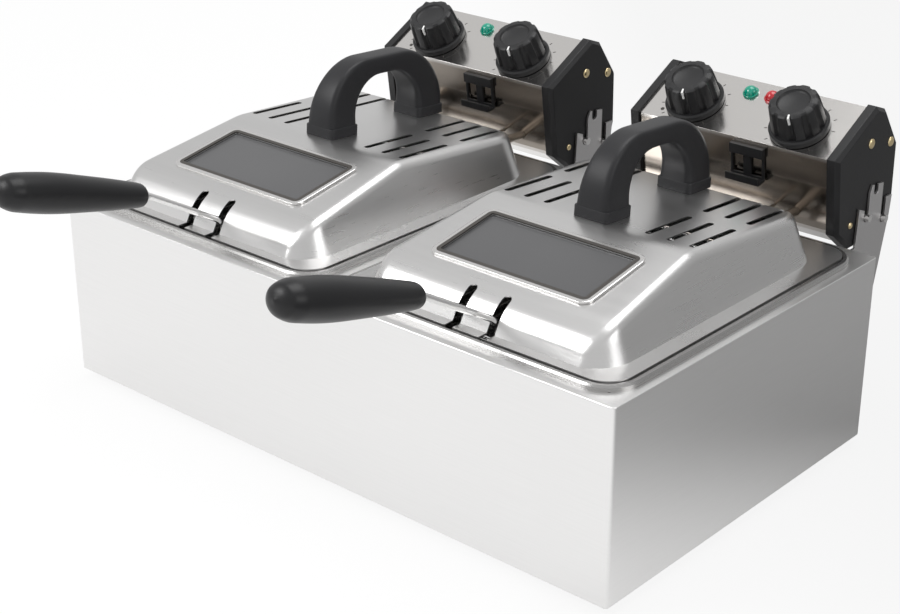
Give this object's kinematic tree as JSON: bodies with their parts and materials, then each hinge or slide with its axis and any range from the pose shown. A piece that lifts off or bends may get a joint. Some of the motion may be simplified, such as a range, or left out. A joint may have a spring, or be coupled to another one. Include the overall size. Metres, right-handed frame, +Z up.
{
  "type": "countertop twin-tank deep fryer",
  "caption": "Stainless countertop deep fryer with lift-out oil tanks, wire baskets, windowed lids and rear control heads that carry the heaters.",
  "frame": {"origin": "on the table, under the middle of the whole object's outline", "axes": "X to the right as seen from the front, Y to the back, Z up"},
  "size_m": [0.54, 0.5812, 0.261],
  "materials": {
    "casing_steel": "brushed stainless sheet",
    "base_steel": "plain steel sheet",
    "black_rubber": "matt rubber",
    "bracket_steel": "plain stainless plate",
    "tank_steel": "satin drawn stainless",
    "heater_steel": "dark heat-tinted tube",
    "black_plastic": "fine-grained black moulding",
    "bright_steel": "polished steel",
    "inner_plastic": "dark moulding",
    "knob_plastic": "smooth black moulding",
    "green_lens": "clear green lens",
    "red_lens": "clear red lens",
    "basket_wire": "plated wire",
    "lid_steel": "satin stainless pressing",
    "window_glass": "clear toughened glass"
  },
  "bodies": {
    "casing": {"body_shell": "casing_steel", "centre_rail": "casing_steel", "base_plate": "base_steel", "rubber_feet": "black_rubber", "head_brackets": "bracket_steel"},
    "left_tank": {"left_tank": "tank_steel"},
    "left_head": {"left_heating_element": "heater_steel", "left_element_clamp": "tank_steel", "left_sensor_bulb": "heater_steel", "left_head_base": "casing_steel", "left_head_cover": "casing_steel", "left_end_caps": "black_plastic", "left_pivot_pins": "bright_steel", "left_timer_body": "inner_plastic", "left_thermostat_body": "inner_plastic", "left_terminal_block": "inner_plastic", "left_thermal_cutout": "inner_plastic", "left_cable_gland": "black_plastic", "left_green_lamp": "green_lens", "left_red_lamp": "red_lens", "left_drain_hook": "bright_steel"},
    "left_basket": {"left_basket_mesh": "basket_wire", "left_basket_frame": "basket_wire", "left_basket_grip": "black_plastic"},
    "left_lid": {"left_lid_shell": "lid_steel", "left_window_bezel": "bright_steel", "left_window_glass": "window_glass", "left_window_retainer": "bright_steel", "left_lid_handle": "black_plastic"},
    "left_timer": {"left_timer_knob": "knob_plastic"},
    "left_thermostat": {"left_thermostat_knob": "knob_plastic"},
    "right_tank": {"right_tank": "tank_steel"},
    "right_head": {"right_heating_element": "heater_steel", "right_element_clamp": "tank_steel", "right_sensor_bulb": "heater_steel", "right_head_base": "casing_steel", "right_head_cover": "casing_steel", "right_end_caps": "black_plastic", "right_pivot_pins": "bright_steel", "right_timer_body": "inner_plastic", "right_thermostat_body": "inner_plastic", "right_terminal_block": "inner_plastic", "right_thermal_cutout": "inner_plastic", "right_cable_gland": "black_plastic", "right_green_lamp": "green_lens", "right_red_lamp": "red_lens", "right_drain_hook": "bright_steel"},
    "right_basket": {"right_basket_mesh": "basket_wire", "right_basket_frame": "basket_wire", "right_basket_grip": "black_plastic"},
    "right_lid": {"right_lid_shell": "lid_steel", "right_window_bezel": "bright_steel", "right_window_glass": "window_glass", "right_window_retainer": "bright_steel", "right_lid_handle": "black_plastic"},
    "right_timer": {"right_timer_knob": "knob_plastic"},
    "right_thermostat": {"right_thermostat_knob": "knob_plastic"}
  },
  "joints": [
    {"name": "left_tank_lift", "type": "slide", "parent": "casing", "child": "left_tank", "axis": [0, 0, 1], "range_m": [0, 0.18]},
    {"name": "left_head_lift", "type": "slide", "parent": "left_tank", "child": "left_head", "axis": [0, 0, 1], "range_m": [0, 0.18]},
    {"name": "left_basket_lift", "type": "slide", "parent": "left_head", "child": "left_basket", "axis": [0, 0, 1], "range_m": [0, 0.16]},
    {"name": "left_lid_lift", "type": "slide", "parent": "left_basket", "child": "left_lid", "axis": [0, 0, 1], "range_m": [0, 0.12]},
    {"name": "left_timer_turn", "type": "hinge", "parent": "left_head", "child": "left_timer", "pos_m": [-0.1825, 0.21222, 0.22921], "axis": [0, -0.4671, 0.8842], "range_deg": [-300, 0]},
    {"name": "left_thermostat_turn", "type": "hinge", "parent": "left_head", "child": "left_thermostat", "pos_m": [-0.0875, 0.21222, 0.22921], "axis": [0, -0.4671, 0.8842], "range_deg": [-270, 0]},
    {"name": "right_tank_lift", "type": "slide", "parent": "casing", "child": "right_tank", "axis": [0, 0, 1], "range_m": [0, 0.18]},
    {"name": "right_head_lift", "type": "slide", "parent": "right_tank", "child": "right_head", "axis": [0, 0, 1], "range_m": [0, 0.18]},
    {"name": "right_basket_lift", "type": "slide", "parent": "right_head", "child": "right_basket", "axis": [0, 0, 1], "range_m": [0, 0.16]},
    {"name": "right_lid_lift", "type": "slide", "parent": "right_basket", "child": "right_lid", "axis": [0, 0, 1], "range_m": [0, 0.12]},
    {"name": "right_timer_turn", "type": "hinge", "parent": "right_head", "child": "right_timer", "pos_m": [0.0875, 0.21222, 0.22921], "axis": [0, -0.4671, 0.8842], "range_deg": [-300, 0]},
    {"name": "right_thermostat_turn", "type": "hinge", "parent": "right_head", "child": "right_thermostat", "pos_m": [0.1825, 0.21222, 0.22921], "axis": [0, -0.4671, 0.8842], "range_deg": [-270, 0]}
  ]
}
